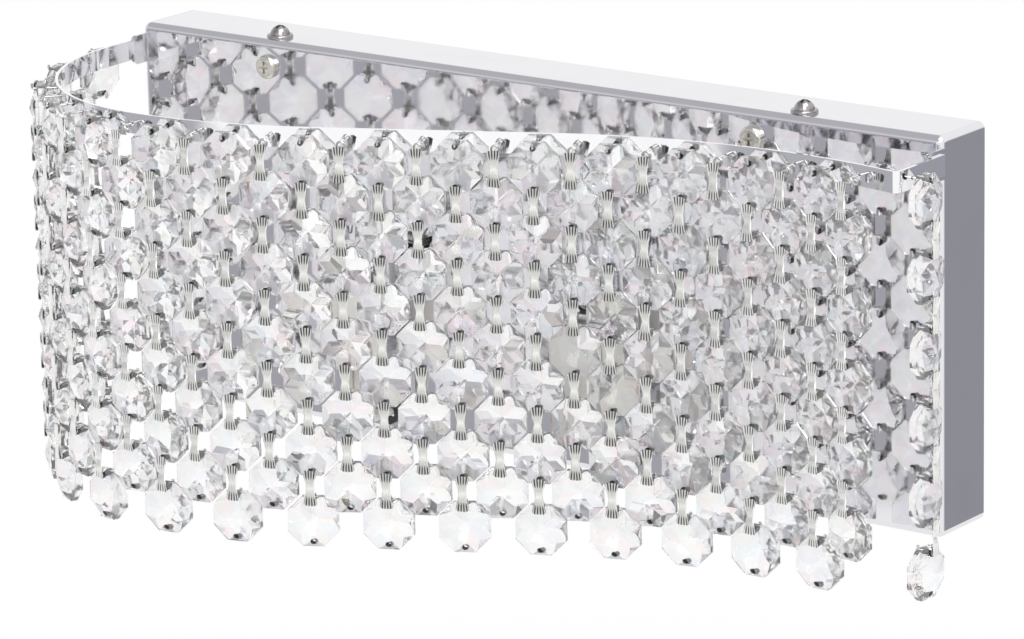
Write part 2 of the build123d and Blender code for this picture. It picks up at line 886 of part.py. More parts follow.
# ---- Wiring
def lead_bushes():
    """Snap bushes in the front of the box, a flange on each side."""
    bushes = []
    for x in lamp_x.values():
        flange = box_sheet
        rear_y = inside_y + flange
        body = rod((x, front_y, lead_z), (x, inside_y, lead_z), bush_radius)
        body += rod((x, front_y - flange, lead_z), (x, front_y, lead_z), bush_flange)
        body += rod((x, inside_y, lead_z), (x, rear_y, lead_z), bush_flange)
        start = (x, front_y - flange - 1, lead_z)
        body -= rod(start, (x, rear_y + 1, lead_z), bush_bore)
        bushes.append(body)
    return bushes


def lamp_leads():
    """Two leads from each holder, through its bush, to the terminal block."""
    leads = []
    end_z = terminal_z[0] + terminal_entry_depth * terminal_entry_share
    for x in lamp_x.values():
        inward = 1 if x < terminal_x else -1
        for pole, depth in enumerate(lead_depths):
            near = inward if pole == 0 else -inward
            start_x = x + near * lead_spacing / 2
            end_x = pole_x(pole) - inward * lead_spacing / 2
            run_y = front_y + depth
            points = [
                (start_x, lamp_y, lead_top_z),
                (start_x, lamp_y, lead_z),
                (start_x, run_y, lead_z),
                (end_x, run_y, lead_z),
                (end_x, run_y, end_z),
            ]
            lengths = (lamp_out, depth, terminal_pitch)
            bends = [a * b for a, b in zip(lengths, lead_bend_shares)]
            tube = wire(points, bends, lead_radius)
            print("lead bend radii", [round(bend, 1) for bend in bends])
            leads.append(tube)
    return leads


def earth_boss_front():
    return -bracket_sheet - earth_boss_height


def earth_screw():
    y = earth_boss_front() - ring_terminal_sheet
    length = ring_terminal_sheet + earth_boss_height * earth_thread_share
    return facing_out(earth_x, y, 0) * pan_screw(pan_head, m4_radius, length)


def earth_lead():
    """The earth wire and the ring terminal crimped on it."""
    ring_y = (earth_boss_front() - ring_terminal_sheet, earth_boss_front())
    barrel_y = sum(ring_y) / 2 - lead_radius
    tongue_low = -earth_boss_radius - lead_radius
    barrel_low = tongue_low - 6 * lead_radius
    wall = ring_terminal_crimp * lead_radius
    ring = rod((earth_x, ring_y[0], 0), (earth_x, ring_y[1], 0), earth_boss_radius)
    ring += block(
        (earth_x - lead_radius, earth_x + lead_radius), ring_y, (tongue_low - 1, 0)
    )
    barrel_start = (earth_x, barrel_y, barrel_low)
    ring += rod(barrel_start, (earth_x, barrel_y, tongue_low), lead_radius + wall)
    bore_top = (earth_x, barrel_y, tongue_low - 2 * wall)
    ring -= rod(barrel_start, bore_top, lead_radius + thread_clearance)
    hole = m4_radius + hole_clearance
    ring -= rod((earth_x, ring_y[0] - 1, 0), (earth_x, ring_y[1] + 1, 0), hole)
    earth_pole = pole_x(terminal_poles - 1)
    low_z = terminal_z[0] - terminal_entry_depth
    entry_z = terminal_z[0] + terminal_entry_depth * terminal_entry_share
    points = [
        (earth_pole, terminal_y, entry_z),
        (earth_pole, terminal_y, low_z),
        (earth_x, barrel_y, low_z),
        (earth_x, barrel_y, tongue_low - 2 * wall - thread_clearance),
    ]
    print("earth lead bend radii", earth_lead_bends)
    return [ring, wire(points, list(earth_lead_bends), lead_radius)]


# ---- Write the nodes
save("back_box", back_box())
save("wall_bracket", wall_bracket())
save("locking_screws", *locking_screws())
save("lamp_carrier", lamp_carrier())
save("carrier_screws", *carrier_screws())
save("carrier_nuts", *carrier_nuts())
save("crystal_band", crystal_band())
save("strand_hooks", *[strand_hook(k) for k in range(strand_count)])
for side, x in lamp_x.items():
    save(f"lamp_bracket_{side}", lamp_bracket(x))
    save(f"lamp_holder_{side}", lamp_holder(x))
    save(f"bulb_glass_{side}", bulb_glass(x))
    save(f"bulb_filament_{side}", bulb_filament(x))
save("bulb_pins", *bulb_pins())
save("bracket_screws", *bracket_screws())
save("bracket_nuts", *bracket_nuts())
save("holder_screws", *holder_screws())
save("terminal_block", terminal_block())
save("terminal_screws", *terminal_screws())
save("terminal_fixing_screw", terminal_fixing_screw())
save("earth_screw", earth_screw())
save("earth_lead", *earth_lead())
save("lead_bushes", *lead_bushes())
save("lamp_leads", *lamp_leads())
for k in range(strand_count):
    save(f"strand_{k + 1:02d}", *strand(k))
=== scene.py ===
import json
import math
import random

import bmesh
import bpy
from mathutils import Matrix, Vector


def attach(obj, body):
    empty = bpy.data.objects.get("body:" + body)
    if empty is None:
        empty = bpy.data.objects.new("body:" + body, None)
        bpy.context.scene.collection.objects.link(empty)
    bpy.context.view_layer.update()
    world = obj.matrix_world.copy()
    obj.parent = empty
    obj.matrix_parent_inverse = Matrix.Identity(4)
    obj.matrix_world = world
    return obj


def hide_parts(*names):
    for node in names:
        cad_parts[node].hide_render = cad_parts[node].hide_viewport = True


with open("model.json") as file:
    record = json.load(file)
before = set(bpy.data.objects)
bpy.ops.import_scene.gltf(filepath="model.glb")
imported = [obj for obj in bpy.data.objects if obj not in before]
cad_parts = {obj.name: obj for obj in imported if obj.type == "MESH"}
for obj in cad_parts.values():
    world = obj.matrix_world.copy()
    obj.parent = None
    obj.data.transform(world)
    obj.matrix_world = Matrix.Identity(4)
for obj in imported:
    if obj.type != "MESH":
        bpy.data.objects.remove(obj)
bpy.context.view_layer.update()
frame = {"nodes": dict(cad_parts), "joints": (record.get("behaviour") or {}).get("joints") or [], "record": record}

MM = 0.001

# Strand sizes in millimetres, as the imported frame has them
CRYSTAL_FLATS = 13.5
CRYSTAL_RIM = 1.8
CRYSTAL_THICK = 7.0
CRYSTAL_STAR = 8.4
CRYSTAL_HOLE = 5.3
CRYSTAL_BORE = 0.8
CRYSTAL_PITCH = 19.3
CLIP_SPAN = CRYSTAL_PITCH - 2 * CRYSTAL_HOLE
LONG_CRYSTALS = 6
SHORT_CRYSTALS = 5

# Degrees that a hanging crystal is turned about its chain, at most
CRYSTAL_TURN = 6


# ---- Shader expressions
class Socket:
    """A shader socket. Sums and products of sockets and numbers add Math nodes."""

    def __init__(self, tree, socket):
        self.tree = tree
        self.socket = socket

    def math(self, operation, *values):
        node = self.tree.nodes.new("ShaderNodeMath")
        node.operation = operation
        for entry, value in zip(node.inputs, (self, *values)):
            plug(self.tree, entry, value)
        return Socket(self.tree, node.outputs[0])

    def __add__(self, other):
        return self.math("ADD", other)

    __radd__ = __add__

    def __mul__(self, other):
        return self.math("MULTIPLY", other)

    __rmul__ = __mul__

    def __sub__(self, other):
        return self.math("SUBTRACT", other)

    def __rsub__(self, other):
        return (self * -1.0) + other

    def clamped(self):
        return self.math("MAXIMUM", 0.0).math("MINIMUM", 1.0)

    def ramp(self, low, high):
        """0 below low, 1 above high, and smooth between."""
        share = ((self - low) * (1.0 / (high - low))).clamped()
        return share * share * (3.0 - 2.0 * share)


def plug(tree, entry, value):
    """Set a socket to a value, or link it."""
    if isinstance(value, Socket):
        tree.links.new(value.socket, entry)
    else:
        entry.default_value = value


class Finish:
    """A material, or the world, that is put together node by node."""

    def __init__(self, owner):
        owner.use_nodes = True
        self.tree = owner.node_tree
        self.tree.nodes.clear()

    def add(self, kind, settings=None, inputs=None, output=0):
        """Add a node: its settings first, then its sockets."""
        node = self.tree.nodes.new(kind)
        for name, value in (settings or {}).items():
            setattr(node, name, value)
        for name, value in (inputs or {}).items():
            plug(self.tree, node.inputs[name], value)
        return Socket(self.tree, node.outputs[output]) if node.outputs else None

    def object_place(self):
        return self.add("ShaderNodeTexCoord", output="Object")

    def noise(self, scale, detail=2.0, stretch=(1.0, 1.0, 1.0)):
        place = self.add(
            "ShaderNodeMapping", inputs={"Vector": self.object_place(), "Scale": stretch}
        )
        inputs = {"Vector": place, "Scale": scale, "Detail": detail}
        return self.add("ShaderNodeTexNoise", inputs=inputs, output="Fac")

    def mix(self, share, first, second):
        """A colour between two others."""
        node = self.tree.nodes.new("ShaderNodeMix")
        node.data_type = "RGBA"
        plug(self.tree, node.inputs["Factor"], share)
        colour_sockets = node.inputs[6:8]
        for entry, colour in zip(colour_sockets, (first, second)):
            plug(self.tree, entry, opaque(colour))
        mixed_colour = node.outputs[2]
        return Socket(self.tree, mixed_colour)

    def bump(self, height, distance):
        inputs = {"Height": height, "Distance": distance}
        return self.add("ShaderNodeBump", inputs=inputs)

    def surface(self, **inputs):
        """The Principled shader, with the spaces of its socket names as underscores."""
        named = {name.replace("_", " "): opaque(v) for name, v in inputs.items()}
        shader = self.add("ShaderNodeBsdfPrincipled", inputs=named)
        self.add("ShaderNodeOutputMaterial", inputs={"Surface": shader})


def opaque(value):
    """A colour of three numbers gets its alpha; anything else stays."""
    if isinstance(value, tuple) and len(value) == 3:
        return (*value, 1.0)
    return value


def new_finish(name):
    material = bpy.data.materials.new(name)
    return material, Finish(material)


# ---- Materials of the metal pieces
def mirror_chrome(name, colour, waviness):
    """Polished chrome on thin sheet: a slightly wavy mirror with a few dull marks."""
    material, finish = new_finish(name)
    wave = finish.noise(14.0, 1.0)
    haze = finish.noise(60.0, 4.0).ramp(0.5, 0.78)
    rub = finish.noise(900.0, 2.0, stretch=(0.06, 1.0, 1.0)).ramp(0.55, 0.8)
    dulled = tuple(0.94 * part for part in colour)
    finish.surface(
        Base_Color=finish.mix(haze * 0.5 + rub * 0.2, colour, dulled),
        Metallic=1.0,
        Roughness=haze * 0.035 + rub * 0.02 + 0.035,
        Normal=finish.bump(wave, waviness),
    )
    return material


def plated_steel(name, colour, grain):
    """Zinc-plated sheet: a soft sheen, cloudy spangle and a fine rolling grain."""
    material, finish = new_finish(name)
    cloud = finish.noise(220.0, 3.0).ramp(0.35, 0.7)
    rolled = finish.noise(2500.0, 2.0, stretch=grain)
    dark = tuple(0.78 * part for part in colour)
    finish.surface(
        Base_Color=finish.mix(cloud, dark, colour),
        Metallic=1.0,
        Roughness=cloud * -0.1 + rolled * 0.12 + 0.36,
        Normal=finish.bump(rolled, 0.00002),
    )
    return material


def screw_metal(name, colour, roughness):
    """Bright plated screw metal with tool marks."""
    material, finish = new_finish(name)
    marks = finish.noise(1800.0, 3.0)
    worn = finish.noise(500.0, 2.0).ramp(0.45, 0.75)
    dark = tuple(0.7 * part for part in colour)
    finish.surface(
        Base_Color=finish.mix(worn, colour, dark),
        Metallic=1.0,
        Roughness=marks * 0.12 + roughness,
        Normal=finish.bump(marks, 0.00001),
    )
    return material


def fluted_clip_metal():
    """Bright nickel whose pressed flutes have painted shade, dark at their bottoms away from the waist."""
    material, finish = new_finish("bright_fluted_clip")
    depth = finish.add(
        "ShaderNodeAttribute", {"attribute_name": "painted_flute_shade"}, output="Fac"
    )
    # painted shade: the flute bottoms are painted dark, and made rougher, where shade falls in the grooves
    painted_groove_shade = depth.ramp(0.3, 0.9)
    speck = finish.noise(3000.0, 2.0)
    finish.surface(
        Base_Color=finish.mix(painted_groove_shade, (0.9, 0.9, 0.88), (0.12, 0.12, 0.12)),
        Metallic=1.0,
        Roughness=painted_groove_shade * 0.2 + speck * 0.06 + 0.26,
    )
    return material


# ---- Materials of the glass, ceramic and plastic pieces
def cut_crystal_glass():
    """Clear cut glass with painted fire: faint colours and greys painted on its facets for the light and shade
    they throw.

    A small diffuse share and a low IOR keep its facets from going black.
    """
    material, finish = new_finish("cut_crystal")
    painted_fire = finish.add(
        "ShaderNodeAttribute", {"attribute_name": "painted_facet_fire"}, output="Color"
    )
    # painted fire and shade: each facet's base colour is a faint painted colour standing in for the light and
    # shade it throws
    finish.surface(
        Base_Color=painted_fire,
        Roughness=0.0,
        IOR=1.49,
        Transmission_Weight=0.9,
    )
    return material


def shaded_drill_hole():
    """The ground, unpolished wall of a drilled hole, painted dark grey as painted shade inside the hole."""
    material, finish = new_finish("shaded_drill_hole")
    grind = finish.noise(6000.0, 2.0)
    # painted shade: the hole wall is painted dark where shade falls inside the hole; the grind only varies and
    # roughens it
    finish.surface(
        Base_Color=finish.mix(grind, (0.1, 0.1, 0.1), (0.3, 0.3, 0.31)),
        Roughness=0.6,
    )
    return material


def lamp_glass():
    """The thin clear wall of a capsule bulb, hazed near its pinch."""
    material, finish = new_finish("clear_bulb_glass")
    haze = finish.noise(300.0, 3.0).ramp(0.5, 0.8)
    finish.surface(
        Base_Color=(0.97, 0.98, 0.99),
        Roughness=haze * 0.03 + 0.01,
        IOR=1.46,
        Transmission_Weight=1.0,
    )
    return material


def glazed_ceramic():
    material, finish = new_finish("glazed_ceramic")
    fleck = finish.noise(2600.0, 4.0).ramp(0.66, 0.72)
    cloud = finish.noise(160.0, 2.0)
    body = finish.mix(cloud, (0.80, 0.78, 0.72), (0.88, 0.86, 0.81))
    finish.surface(
        Base_Color=finish.mix(fleck * 0.6, body, (0.45, 0.4, 0.34)),
        Roughness=cloud * 0.12 + 0.2,
        Coat_Weight=0.4,
        Coat_Roughness=0.1,
        Normal=finish.bump(cloud, 0.0001),
    )
    return material


def moulded_plastic(name, colour, roughness):
    """Moulded plastic with a spark-eroded skin."""
    material, finish = new_finish(name)
    skin = finish.noise(4000.0, 3.0)
    shade = finish.noise(120.0, 2.0)
    deep = tuple(0.88 * part for part in colour)
    finish.surface(
        Base_Color=finish.mix(shade, deep, colour),
        Roughness=skin * 0.15 + roughness,
        Normal=finish.bump(skin, 0.00002),
    )
    return material


def striped_insulation():
    """Green insulation with a yellow stripe wound round it."""
    material, finish = new_finish("green_yellow_insulation")
    x, y, z = axes_of(finish, finish.object_place())
    wound = ((x + y + z) * 900.0).math("SINE").ramp(0.1, 0.35)
    skin = finish.noise(3500.0, 2.0)
    finish.surface(
        Base_Color=finish.mix(wound, (0.06, 0.28, 0.05), (0.75, 0.6, 0.03)),
        Roughness=skin * 0.15 + 0.4,
        Normal=finish.bump(skin, 0.00002),
    )
    return material


def axes_of(finish, place):
    node = finish.tree.nodes.new("ShaderNodeSeparateXYZ")
    plug(finish.tree, node.inputs[0], place)
    return [Socket(finish.tree, output) for output in node.outputs]


finishes = {
    "chromed_box": mirror_chrome("box_chrome", (0.81, 0.80, 0.83), 0.00012),
    "chromed_band": mirror_chrome("band_chrome", (0.95, 0.95, 0.97), 0.00006),
    "chromed_fastener": screw_metal("dome_screw_chrome", (0.42, 0.4, 0.4), 0.16),
    "nickel_fastener": screw_metal("pan_screw_nickel", (0.74, 0.72, 0.66), 0.12),
    "chromed_wire": screw_metal("hook_wire", (0.62, 0.62, 0.61), 0.2),
    "zinc_steel": plated_steel("zinc_sheet", (0.62, 0.64, 0.66), (0.05, 1.0, 1.0)),
    "steel_fastener": screw_metal("zinc_screw", (0.6, 0.6, 0.62), 0.22),
    "brass_fastener": screw_metal("brass_screw", (0.72, 0.55, 0.27), 0.2),
    "ceramic": glazed_ceramic(),
    "bulb_glass": lamp_glass(),
    "filament": screw_metal("tungsten_wire", (0.32, 0.3, 0.29), 0.35),
    "pin_wire": screw_metal("pin_wire", (0.55, 0.53, 0.5), 0.25),
    "terminal_plastic": moulded_plastic("terminal_plastic", (0.86, 0.85, 0.8), 0.35),
    "bush_plastic": moulded_plastic("bush_plastic", (0.03, 0.03, 0.03), 0.4),
    "lead_insulation": moulded_plastic("lead_sleeve", (0.82, 0.8, 0.74), 0.5),
    "earth_insulation": striped_insulation(),
}
crystal_glass = cut_crystal_glass()
crystal_hole_shade = shaded_drill_hole()
clip_metal = fluted_clip_metal()

slot_of_node = {
    entry["node"]: entry["material_slot"] for entry in frame["record"]["subparts"]
}
for node, piece in frame["nodes"].items():
    finish = finishes.get(slot_of_node[node])
    if finish:
        piece.data.materials.clear()
        piece.data.materials.append(finish)


# ---- Modelling helpers
def deselect():
    if bpy.context.mode != "OBJECT":
        bpy.ops.object.mode_set(mode="OBJECT")
    bpy.ops.object.select_all(action="DESELECT")


def start(name):
    """Name the primitive that was just added, and open it for editing."""
    piece = bpy.context.active_object
    piece.name = piece.data.name = name
    bpy.ops.object.transform_apply(location=True, rotation=True, scale=True)
    bpy.ops.object.mode_set(mode="EDIT")
    return piece


def pick(piece, kind, wanted):
    """Select only the faces or verts for which wanted(element) is true."""
    mesh = bmesh.from_edit_mesh(piece.data)
    bpy.ops.mesh.select_mode(type={"faces": "FACE", "verts": "VERT"}[kind])
    for element in (*mesh.faces, *mesh.edges, *mesh.verts):
        element.select_set(False)
    for element in getattr(mesh, kind):
        if wanted(element):
            element.select_set(True)
    mesh.select_flush_mode()
    bmesh.update_edit_mesh(piece.data)


def select_only(*pieces):
    deselect()
    for piece in pieces:
        piece.select_set(True)
    bpy.context.view_layer.objects.active = pieces[-1]


def apply_modifier(piece, kind, **settings):
    select_only(piece)
    modifier = piece.modifiers.new(kind.title(), kind)
    for name, value in settings.items():
        setattr(modifier, name, value)
    bpy.ops.object.modifier_apply(modifier=modifier.name)


def own_copy(piece, name):
    twin = piece.copy()
    twin.data = piece.data.copy()
    twin.name = twin.data.name = name
    bpy.context.scene.collection.objects.link(twin)
    return twin


def joined(name, pieces):
    select_only(*pieces)
    if len(pieces) > 1:
        bpy.ops.object.join()
    whole = bpy.context.active_object
    whole.name = whole.data.name = name
    return whole


# ---- One crystal, upright around the origin
def crystal_hole_cutter(end):
    deselect()
    bpy.ops.mesh.primitive_cylinder_add(
        vertices=8,
        radius=CRYSTAL_BORE * MM,
        depth=2 * CRYSTAL_THICK * MM,
        location=(0, 0, end * CRYSTAL_HOLE * MM),
        rotation=(math.pi / 2, 0, 0),
    )
    cutter = start("crystal_drill_bit")
    bpy.ops.object.mode_set(mode="OBJECT")
    return cutter


def model_crystal():
    """An octagon with eight kite facets to a point, front and back, and two holes."""
    deselect()
    half_side = math.pi / 8
    corner = CRYSTAL_FLATS / 2 / math.cos(half_side)
    rise = (CRYSTAL_THICK - CRYSTAL_RIM) / 2
    star_depth = rise * (1 - CRYSTAL_STAR / 2 / corner)
    inset = (CRYSTAL_FLATS - CRYSTAL_STAR) / 2
    bpy.ops.mesh.primitive_cylinder_add(
        vertices=8,
        radius=corner * MM,
        depth=CRYSTAL_RIM * MM,
        rotation=(math.pi / 2, half_side, 0),
    )
    crystal = start("crystal")
    for side in (-1, 1):
        pick(crystal, "faces", lambda face: face.normal.y * side > 0.9)
        bpy.ops.mesh.inset(thickness=inset * MM, depth=star_depth * MM)
        bpy.ops.transform.rotate(
            value=half_side, orient_axis="Y", center_override=(0, 0, 0)
        )
        bpy.ops.mesh.poke(offset=(rise - star_depth) * MM)
        pick(
            crystal,
            "faces",
            lambda face: len(face.verts) == 4 and abs(face.normal.y) > 0.3,
        )
        bpy.ops.mesh.quads_convert_to_tris(quad_method="SHORTEST_DIAGONAL")
    bpy.ops.mesh.select_all(action="SELECT")
    bpy.ops.mesh.dissolve_limited(angle_limit=math.radians(2))
    bpy.ops.mesh.normals_make_consistent(inside=False)
    bpy.ops.object.mode_set(mode="OBJECT")
    for end in (-1, 1):
        cutter = crystal_hole_cutter(end)
        apply_modifier(
            crystal, "BOOLEAN", object=cutter, operation="DIFFERENCE", solver="EXACT"
        )
        bpy.data.objects.remove(cutter)
    crystal.data.materials.clear()
    crystal.data.materials.append(crystal_glass)
    crystal.data.materials.append(crystal_hole_shade)
    # The faces of the drilled holes take the dark painted-shade material
    for face in crystal.data.polygons:
        across = math.hypot(face.center.x, abs(face.center.z) - CRYSTAL_HOLE * MM)
        drilled = across < CRYSTAL_BORE * MM and abs(face.normal.y) < 0.2
        face.material_index = 1 if drilled else 0
    return crystal


# ---- One bow-tie clip, upright around the origin, in millimetres
CLIP_END = CLIP_SPAN / 2 + 0.4
CLIP_FRONT = -2.8
CLIP_WIDTH = 3.2
CLIP_SHEET = 0.3
# Each row's height above the waist and its width, as shares of those of the end
CLIP_ROWS = ((0.0, 0.5), (1 / 3, 0.62), (2 / 3, 0.85), (1.0, 1.0))
CLIP_LAST_ROW = 4.0
CLIP_LAST_COLUMN = 1.5
CLIP_CORNER_DRAW = 0.9
FLUTE_CELLS = 8
FLUTE_DEPTH = 0.45
FLUTE_START = 1.0
# Distance in mm from the waist where the painted shade in the flute bottoms begins
FLUTE_DARK_START = 1.6
PRONG_WIDTH = 0.7
PRONG_THICK = 0.5
PRONG_TIP = 1.25
PRONG_REACH = 2.55
PRONG_REACH_AT_HOOK = 1.1


def flute(place):
    """The column of the clip plate's grid that a point lies on."""
    share = abs(place.z) / (CLIP_END * MM)
    width = min(CLIP_ROWS, key=lambda row: abs(row[0] - share))[1]
    return round(place.x / (CLIP_WIDTH * MM / FLUTE_CELLS * width))


def is_plate_corner(vert):
    last_row = abs(vert.co.z) > CLIP_LAST_ROW * MM
    return last_row and abs(vert.co.x) > CLIP_LAST_COLUMN * MM


def is_flute_ridge(vert):
    return abs(vert.co.z) > FLUTE_START * MM and flute(vert.co) % 2 == 0


def model_clip_plate():
    """A fluted sheet, pinched at its waist."""
    deselect()
    bpy.ops.mesh.primitive_grid_add(
        x_subdivisions=FLUTE_CELLS,
        y_subdivisions=2 * (len(CLIP_ROWS) - 1),
        size=1.0,
        location=(0, CLIP_FRONT * MM, 0),
        rotation=(math.pi / 2, 0, 0),
    )
    piece = bpy.context.active_object
    piece.scale = (CLIP_WIDTH * MM, 2 * CLIP_END * MM, 1.0)
    plate = start("clip_plate")
    for height, width in CLIP_ROWS[:-1]:
        row = height * CLIP_END * MM
        pick(plate, "verts", lambda vert: abs(abs(vert.co.z) - row) < 0.1 * MM)
        bpy.ops.transform.resize(value=(width, 1, 1), center_override=(0, 0, 0))
    pick(plate, "verts", is_plate_corner)
    bpy.ops.transform.resize(value=(1, 1, CLIP_CORNER_DRAW), center_override=(0, 0, 0))
    pick(plate, "verts", is_flute_ridge)
    bpy.ops.transform.translate(value=(0, -FLUTE_DEPTH * MM, 0))
    bpy.ops.object.mode_set(mode="OBJECT")
    apply_modifier(plate, "SOLIDIFY", thickness=CLIP_SHEET * MM, offset=-1.0)
    # Mask of painted shade: 1 in the flute bottoms, rising from FLUTE_DARK_START outwards, 0 on the ridges
    depth = plate.data.attributes.new("painted_flute_shade", "FLOAT", "POINT")
    for vert, entry in zip(plate.data.vertices, depth.data):
        end = min(1.0, max(0.0, abs(vert.co.z) / MM - FLUTE_DARK_START))
        entry.value = end if flute(vert.co) % 2 == 1 else 0.0
    return plate


def model_prong(end, reach):
    """A prong of a clip: back through the crystal's hole and bent over."""
    height = end * (CLIP_SPAN / 2)
    front, back = CLIP_FRONT + 0.1, reach - PRONG_THICK
    deselect()
    bpy.ops.mesh.primitive_cube_add(
        size=1.0, location=(0, (front + back) / 2 * MM, height * MM)
    )
    piece = bpy.context.active_object
    piece.scale = (PRONG_WIDTH * MM, (back - front) * MM, PRONG_THICK * MM)
    prong = start("clip_prong")
    pick(prong, "faces", lambda face: face.normal.y > 0.9)
    further_back = (0, PRONG_THICK * MM, 0)
    bpy.ops.mesh.extrude_region_move(TRANSFORM_OT_translate={"value": further_back})
    bend = (back - 0.1) * MM
    pick(
        prong,
        "faces",
        lambda face: face.normal.z * end < -0.9 and face.calc_center_median().y > bend,
    )
    to_the_waist = (0, 0, -end * PRONG_TIP * MM)
    bpy.ops.mesh.extrude_region_move(TRANSFORM_OT_translate={"value": to_the_waist})
    bpy.ops.object.mode_set(mode="OBJECT")
    # An empty mask of painted shade, so the prongs stay bright
    prong.data.attributes.new("painted_flute_shade", "FLOAT", "POINT")
    return prong


def model_clip(name, upper_reach, lower_reach):
    prongs = [model_prong(1, upper_reach), model_prong(-1, lower_reach)]
    clip = joined(name, [*prongs, model_clip_plate()])
    clip.data.materials.clear()
    clip.data.materials.append(clip_metal)
    return clip


# ---- Strands: crystals and clips one under the other, hung at their hinge points
def chain(piece, name, count, first_z):
    """Copies of a piece one under the other at the crystal pitch, from first_z down."""
    links = []
    for k in range(count):
        link = own_copy(piece, f"{name}_{k}")
        link.location.z = (first_z - k * CRYSTAL_PITCH) * MM
        links.append(link)
    return links


# Each faint colour of painted fire and shade on a facet, and how often it comes
facet_fire_tints = [
    ((1.0, 1.0, 1.0), 12),
    ((1.0, 1.0, 0.975), 4),
    ((0.95, 0.95, 1.0), 2),
    ((0.92, 0.97, 1.0), 2),
    ((1.0, 0.95, 0.92), 2),
    ((1.0, 0.9, 0.93), 2),
    ((0.95, 1.0, 0.96), 1),
    ((0.9, 0.91, 0.92), 2),
]
facet_fire_colours = [colour for colour, weight in facet_fire_tints]
facet_fire_weights = [weight for colour, weight in facet_fire_tints]


def paint_facet_fire(piece, chance):
    """Give each facet its own faint colour of painted fire and shade."""
    layer = piece.data.attributes.new("painted_facet_fire", "FLOAT_COLOR", "FACE")
    for entry in layer.data:
        entry.color = (*chance.choices(facet_fire_colours, facet_fire_weights)[0], 1.0)


def hang(piece, joint):
    """Move a strand's pieces from the origin to the strand's hinge point."""
    along = -Vector(joint["axis"])
    up = Vector((0, 0, 1))
    inward = up.cross(along)
    turn = Matrix((along, inward, up)).transposed().to_4x4()
    piece.data.transform(Matrix.Translation(joint["pos_m"]) @ turn)


crystal = model_crystal()
clip = model_clip("clip", PRONG_REACH, PRONG_REACH)
top_clip = model_clip("top_clip", PRONG_REACH_AT_HOOK, PRONG_REACH)
chance = random.Random(14)
joint_of = {joint["child"]: joint for joint in frame["joints"]}

for number, body in enumerate(sorted(joint_of)):
    long_strand = number % 2 == 0
    if long_strand:
        count, first_z = LONG_CRYSTALS, -CRYSTAL_HOLE
    else:
        count, first_z = SHORT_CRYSTALS, -CLIP_SPAN - CRYSTAL_HOLE
    clips = chain(clip, "link", count - 1, first_z - CRYSTAL_PITCH / 2)
    if not long_strand:
        first_clip = own_copy(top_clip, "first_link")
        first_clip.location.z = -CLIP_SPAN / 2 * MM
        clips.append(first_clip)
    crystals = chain(crystal, "drop", count, first_z)
    for drop in crystals:
        drop.rotation_euler.z = math.radians(chance.uniform(-CRYSTAL_TURN, CRYSTAL_TURN))
    for kind, links, slot in (
        ("crystals", crystals, "crystal"),
        ("clips", clips, "chromed_wire"),
    ):
        select_only(*links)
        bpy.ops.object.transform_apply(location=True, rotation=True, scale=True)
        piece = joined(f"{body}_{kind}", links)
        if kind == "crystals":
            # paint each facet a faint colour of fire and shade
            paint_facet_fire(piece, chance)
        hang(piece, joint_of[body])
        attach(piece, body)
        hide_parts(body)

for template in (crystal, clip, top_clip):
    bpy.data.objects.remove(template)


# ---- Studio: a pale floor, soft lamps, and a camera at the photograph's angle
WHITE = (1.0, 1.0, 1.0)
LEFT_WALL_GREY = (0.74, 0.74, 0.76)
CARD_GREY = (0.43, 0.43, 0.46)
RIGHT_WALL_GREY = (0.32, 0.325, 0.36)
CEILING_GREY = (0.52, 0.52, 0.54)

# Where each part of the studio stands, as a direction from the object
LEFT_WALL_AIM = (-0.99, -0.12)
RIGHT_WALL_AIM = (0.6, 0.8)
CEILING_AIM = (-1.0, -0.4)
CARD_AIM = (-0.66, -0.70, -0.27)

FLOOR_RADIUS = 0.9
FLOOR_PLACE = (0, -0.05, -0.35)
# How much of the floor's own white is seen in its middle, and more at its rim
FLOOR_GLOW = 0.8
FLOOR_RIM_GLOW = 0.2
# The world lights the object at this share of its white
WORLD_LIGHT = 0.75


def pale_floor():
    deselect()
    bpy.ops.mesh.primitive_circle_add(
        vertices=64, radius=FLOOR_RADIUS, fill_type="NGON", location=FLOOR_PLACE
    )
    floor = bpy.context.active_object
    floor.name = "studio_floor"
    material, finish = new_finish("floor_paper")
    tone = finish.noise(8.0, 2.0)
    colour = finish.mix(tone, (0.88, 0.88, 0.88), (0.92, 0.92, 0.92))
    paper = finish.add(
        "ShaderNodeBsdfPrincipled", inputs={"Base Color": colour, "Roughness": 0.9}
    )
    glow = finish.add("ShaderNodeEmission", inputs={"Strength": 1.0})
    x, y, _ = axes_of(finish, finish.object_place())
    rim = (x * x + y * y).ramp(0.2, 0.7)
    seen = seen_directly(finish) * (rim * FLOOR_RIM_GLOW + FLOOR_GLOW)
    shader = finish.add("ShaderNodeMixShader", inputs={0: seen, 1: paper, 2: glow})
    finish.add("ShaderNodeOutputMaterial", inputs={"Surface": shader})
    floor.data.materials.append(material)


def seen_by(finish, *rays):
    """1 where one of these rays meets it, such as the camera's, and else 0."""
    node = finish.tree.nodes.new("ShaderNodeLightPath")
    first, *rest = (Socket(finish.tree, node.outputs[ray]) for ray in rays)
    return sum(rest, first).clamped()


def seen_directly(finish):
    """1 where the camera, a mirror or clear glass looks at it."""
    return seen_by(finish, "Is Camera Ray", "Is Glossy Ray", "Is Transmission Ray")


def towards(axes, aim):
    """How nearly a direction points along an aim, from 1 down to -1."""
    first, *rest = (axis * part for axis, part in zip(axes, aim))
    return sum(rest, first)


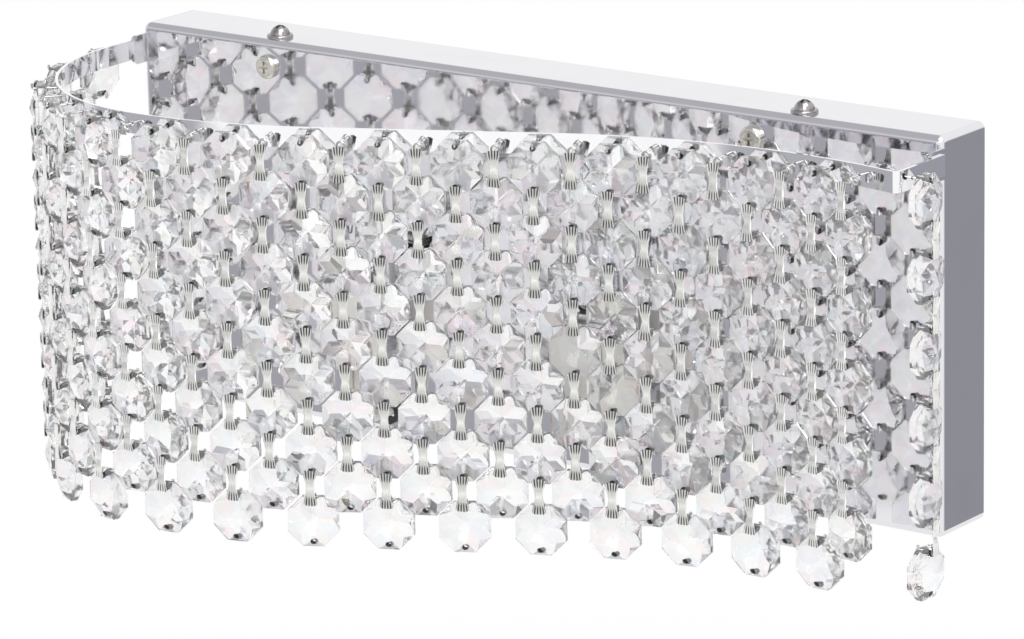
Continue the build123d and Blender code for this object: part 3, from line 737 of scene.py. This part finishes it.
def studio_world():
    """A white studio for the camera and through glass.

    Everything else sees grey walls on the left and at the back on the right, a
    grey ceiling on the left and a grey card in front.
    """
    world = bpy.data.worlds.new("studio")
    bpy.context.scene.world = world
    finish = Finish(world)
    direction = finish.add("ShaderNodeTexCoord", output="Generated")
    _, y, z = axes = axes_of(finish, direction)
    below = 1.0 - z.ramp(0.0, 0.22)
    room_side = (y * -1.0).ramp(0.0, 0.3)
    left_wall_height = (below + room_side).clamped()
    left_wall = towards(axes, LEFT_WALL_AIM).ramp(0.36, 0.48) * left_wall_height
    right_wall = towards(axes, RIGHT_WALL_AIM).ramp(0.5, 0.85) * below
    ceiling = z.ramp(0.3, 0.6) * towards(axes, CEILING_AIM).ramp(-0.1, 0.3)
    card = towards(axes, CARD_AIM).ramp(0.86, 0.94)
    walls = finish.mix(left_wall, WHITE, LEFT_WALL_GREY)
    walls = finish.mix(card, walls, CARD_GREY)
    walls = finish.mix(right_wall, walls, RIGHT_WALL_GREY)
    walls = finish.mix(ceiling, walls, CEILING_GREY)
    plain = seen_by(finish, "Is Camera Ray", "Is Transmission Ray")
    seen = finish.mix(plain, walls, WHITE)
    strength = seen_directly(finish) * (1.0 - WORLD_LIGHT) + WORLD_LIGHT
    light = finish.add(
        "ShaderNodeBackground", inputs={"Color": seen, "Strength": strength}
    )
    finish.add("ShaderNodeOutputWorld", inputs={"Surface": light})


def soft_lamp(name, place, target, size, power):
    data = bpy.data.lights.new(name, "AREA")
    data.shape = "RECTANGLE"
    data.size, data.size_y = size
    data.energy = power
    lamp = bpy.data.objects.new(name, data)
    lamp.location = place
    aim = Vector(target) - Vector(place)
    lamp.rotation_euler = aim.to_track_quat("-Z", "Y").to_euler()
    bpy.context.scene.collection.objects.link(lamp)


CAMERA_DEGREES = (36.69, 15.37, -1.20)
CAMERA_TARGET = (-0.0197, 0.0, -0.02112)
CAMERA_DISTANCE = 1.4904
FOCAL_PIXELS = 5500.0
PHOTO_WIDTH = 1024.0
SENSOR_WIDTH = 36.0


def photo_camera():
    """The camera's fit to the box, band and screws in the photograph."""
    turn, tilt, roll = (math.radians(degrees) for degrees in CAMERA_DEGREES)
    target = Vector(CAMERA_TARGET)
    forward = Vector(
        (
            -math.sin(turn) * math.cos(tilt),
            math.cos(turn) * math.cos(tilt),
            -math.sin(tilt),
        )
    )
    level = Vector((math.cos(turn), math.sin(turn), 0))
    upward = level.cross(forward)
    right = level * math.cos(roll) + upward * math.sin(roll)
    top = upward * math.cos(roll) - level * math.sin(roll)
    data = bpy.data.cameras.new("photo_camera")
    data.sensor_width = SENSOR_WIDTH
    data.lens = FOCAL_PIXELS / PHOTO_WIDTH * SENSOR_WIDTH
    data.clip_start = 0.01
    camera = bpy.data.objects.new("photo_camera", data)
    facing = Matrix((right, top, -forward)).transposed()
    place = target - forward * CAMERA_DISTANCE
    camera.matrix_world = Matrix.Translation(place) @ facing.to_4x4()
    bpy.context.scene.collection.objects.link(camera)
    bpy.context.scene.camera = camera


pale_floor()
studio_world()
soft_lamp(
    "front_softbox", place=(0.9, -1.2, 1.0), target=(0, 0, 0), size=(0.8, 0.8), power=9.0
)
soft_lamp(
    "top_softbox", place=(0.5, -0.3, 1.2), target=(0, -0.03, 0), size=(1.0, 0.8), power=7.0
)
photo_camera()
bpy.context.scene.view_settings.view_transform = "Standard"

deselect()
